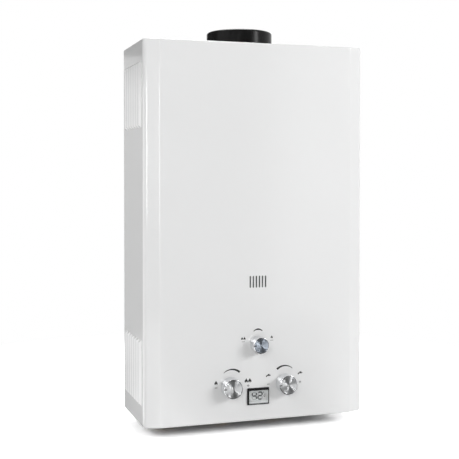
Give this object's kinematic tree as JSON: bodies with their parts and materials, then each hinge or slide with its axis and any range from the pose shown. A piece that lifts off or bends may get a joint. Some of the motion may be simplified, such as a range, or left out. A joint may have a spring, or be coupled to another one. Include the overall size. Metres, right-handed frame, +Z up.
{
  "type": "tankless gas water heater",
  "caption": "Wall-hung tankless gas water heater: white folded-sheet case with pressed side louvres, metal control knobs, small display, round flue collar on top and threaded stubs below.",
  "frame": {"origin": "centre of the four wall-fixing holes, on the wall plane", "axes": "+Y into the wall, front faces -Y, +Z up along the case, +X to the right seen from the front"},
  "size_m": [0.438, 0.198, 0.755],
  "materials": {
    "cover_paint": "gloss",
    "zinc_sheet": "satin",
    "collar_enamel": "satin",
    "screw_steel": "satin",
    "gasket_rubber": "matte",
    "hood_steel": "satin",
    "copper": "satin",
    "burner_steel": "satin",
    "cast_aluminium": "matte",
    "brass": "satin",
    "spring_steel": "satin",
    "coil_plastic": "matte",
    "diaphragm_rubber": "matte",
    "switch_plastic": "matte",
    "igniter_plastic": "matte",
    "insulator_ceramic": "matte",
    "box_plastic": "matte",
    "door_plastic": "satin",
    "cell_wrap": "gloss",
    "knob_chrome": "polished",
    "face_aluminium": "satin",
    "bezel_plastic": "satin",
    "lens_clear": "polished",
    "lcd_grey": "satin",
    "drain_plastic": "satin"
  },
  "bodies": {
    "case": {"front_cover": "cover_paint", "back_panel": "zinc_sheet", "bottom_plate": "zinc_sheet", "exchanger_brackets": "zinc_sheet", "valve_bracket": "zinc_sheet", "flue_collar": "collar_enamel", "cover_screws": "screw_steel", "diaphragm_screws": "screw_steel", "collar_gasket": "gasket_rubber", "draft_hood": "hood_steel", "exchanger_casing": "copper", "exchanger_fins": "copper", "exchanger_tube": "copper", "firebox": "copper", "cold_pipe": "copper", "hot_pipe": "copper", "burner_tray": "burner_steel", "burner_bars": "burner_steel", "gas_manifold": "cast_aluminium", "season_valve": "cast_aluminium", "gas_valve_body": "cast_aluminium", "gas_valve_cap": "cast_aluminium", "gas_riser": "cast_aluminium", "manifold_plug": "brass", "injectors": "brass", "water_valve_body": "brass", "water_valve_cover": "brass", "cold_inlet": "brass", "gas_inlet": "brass", "hot_outlet": "brass", "drain_valve": "brass", "plunger_spring": "spring_steel", "electrode_pins": "spring_steel", "overheat_thermostat": "spring_steel", "inlet_filter": "spring_steel", "solenoid_housing": "coil_plastic", "diaphragm": "diaphragm_rubber", "microswitch": "switch_plastic", "igniter_box": "igniter_plastic", "electrode_insulators": "insulator_ceramic", "battery_box": "box_plastic", "battery_cells": "cell_wrap", "display_bezel": "bezel_plastic", "display_lens": "lens_clear", "display_panel": "lcd_grey"},
    "season_control": {"season_knob": "knob_chrome", "season_knob_face": "face_aluminium", "season_spindle": "brass"},
    "gas_control": {"gas_knob": "knob_chrome", "gas_knob_face": "face_aluminium", "gas_spindle": "brass"},
    "water_control": {"water_knob": "knob_chrome", "water_knob_face": "face_aluminium", "water_spindle": "brass"},
    "linkage": {"push_rod": "brass", "gas_plunger": "brass"},
    "switch_lever": {"microswitch_lever": "spring_steel"},
    "solenoid_core": {"solenoid_plunger": "spring_steel"},
    "drain_control": {"drain_knob": "drain_plastic"},
    "battery_flap": {"battery_door": "door_plastic"}
  },
  "joints": [
    {"name": "season_turn", "type": "hinge", "parent": "case", "child": "season_control", "pos_m": [0, -0.178, -0.2076], "axis": [0, 1, 0], "range_deg": [0, 150]},
    {"name": "gas_turn", "type": "hinge", "parent": "case", "child": "gas_control", "pos_m": [-0.054, -0.178, -0.2843], "axis": [0, 1, 0], "range_deg": [0, 180]},
    {"name": "water_turn", "type": "hinge", "parent": "case", "child": "water_control", "pos_m": [0.054, -0.178, -0.2843], "axis": [0, 1, 0], "range_deg": [0, 180]},
    {"name": "link_slide", "type": "slide", "parent": "case", "child": "linkage", "axis": [-1, 0, 0], "range_m": [0, 0.004], "stiffness_N_per_m": 400, "deforming": ["plunger_spring", "diaphragm"]},
    {"name": "lever_swing", "type": "hinge", "parent": "case", "child": "switch_lever", "pos_m": [-0.0128, -0.095, -0.269], "axis": [0, 1, 0], "range_deg": [0, 30]},
    {"name": "core_lift", "type": "slide", "parent": "case", "child": "solenoid_core", "axis": [0, 0, 1], "range_m": [0, 0.0025], "stiffness_N_per_m": 300},
    {"name": "drain_turn", "type": "hinge", "parent": "case", "child": "drain_control", "pos_m": [0.082, -0.095, -0.35], "axis": [0, 0, 1], "range_deg": [0, 270]},
    {"name": "door_swing", "type": "hinge", "parent": "case", "child": "battery_flap", "pos_m": [0.168, -0.0758, -0.3511], "axis": [1, 0, 0], "range_deg": [0, 100]}
  ],
  "couplings": [
    {"joint": "lever_swing", "follows": "link_slide", "rad_per_m": 115}
  ]
}
